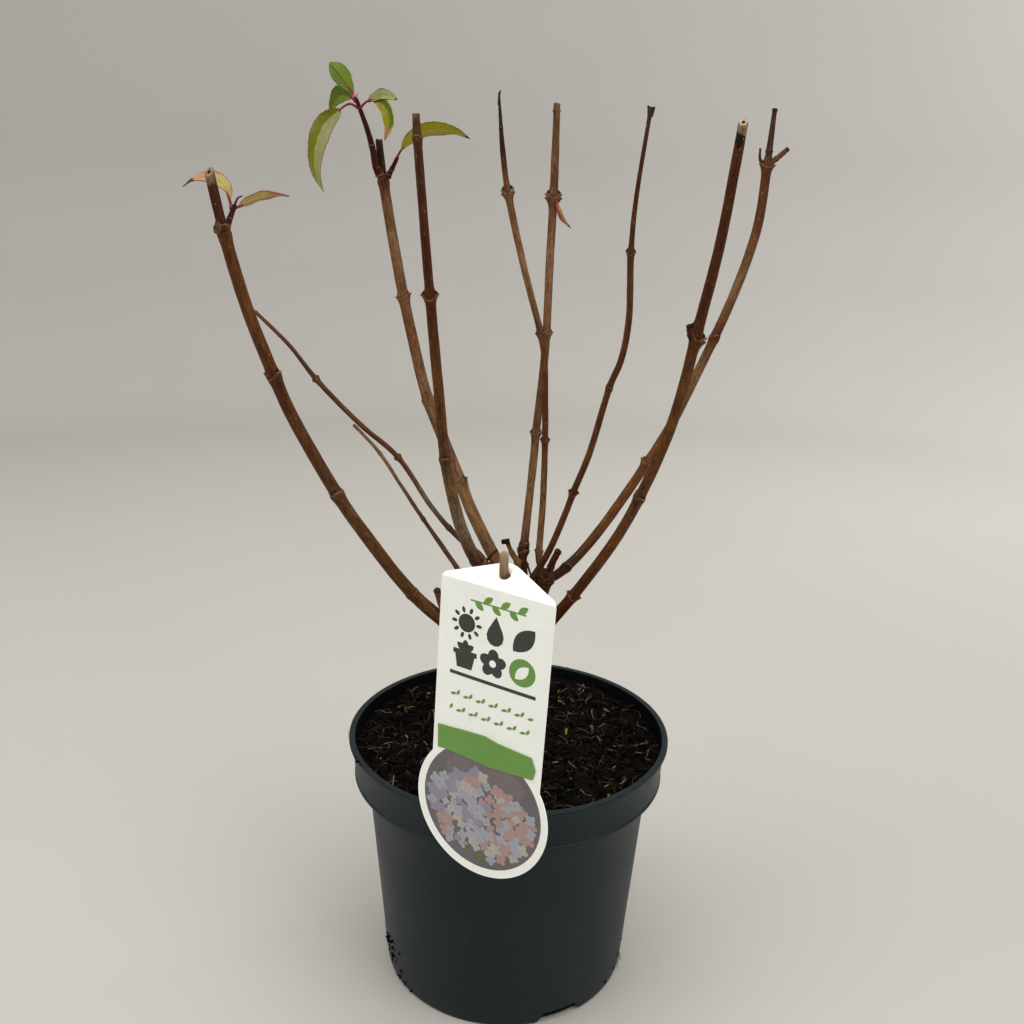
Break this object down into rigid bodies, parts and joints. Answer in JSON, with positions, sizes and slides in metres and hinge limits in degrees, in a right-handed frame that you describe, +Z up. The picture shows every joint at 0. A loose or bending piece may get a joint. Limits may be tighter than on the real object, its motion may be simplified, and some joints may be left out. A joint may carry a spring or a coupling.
{
  "type": "potted hydrangea shrub",
  "caption": "Pruned, nearly leafless hydrangea in late autumn: thin woody canes fan out of a round nursery pot of compost, with a folded card label hung on a stub.",
  "frame": {"origin": "middle of the pot's flat underside", "axes": "+Z up, -Y towards the viewer of the picture, +X to the viewer's right"},
  "size_m": [0.3726, 0.2674, 0.633],
  "materials": {
    "pot_plastic": "near-black blue-green moulded plastic, satin, dusty",
    "compost": "very dark brown damp compost with pale fibres",
    "old_wood": "rough old bark, grey-brown",
    "cane_bark": "smooth warm brown bark with fine pale flecks, satin",
    "pale_wood": "weathered bare wood, matt",
    "leaf": "thin leaf, satin, yellow-green turning orange and crimson at the edges",
    "dry_leaf": "dry curled leaf, matt orange-brown",
    "label_plastic": "white printed plastic card, smooth"
  },
  "bodies": {
    "root": {"pot": "pot_plastic", "compost": "compost", "main_stem": "old_wood", "left_arm": "old_wood", "centre_arm": "old_wood", "right_arm": "old_wood", "cane_far_left": "cane_bark", "cane_front_left": "cane_bark", "cane_back_left": "cane_bark", "cane_back_centre": "cane_bark", "cane_front_centre": "cane_bark", "cane_slender_right": "cane_bark", "cane_front_right": "cane_bark", "cane_back_right": "cane_bark", "cane_thin_left_long": "cane_bark", "cane_thin_left_short": "cane_bark", "pruned_stub_front": "pale_wood", "leaf_spray_left": "leaf", "leaf_spray_top": "leaf", "leaf_spray_side": "leaf", "dry_leaf": "dry_leaf", "label_card": "label_plastic"}
  },
  "joints": []
}
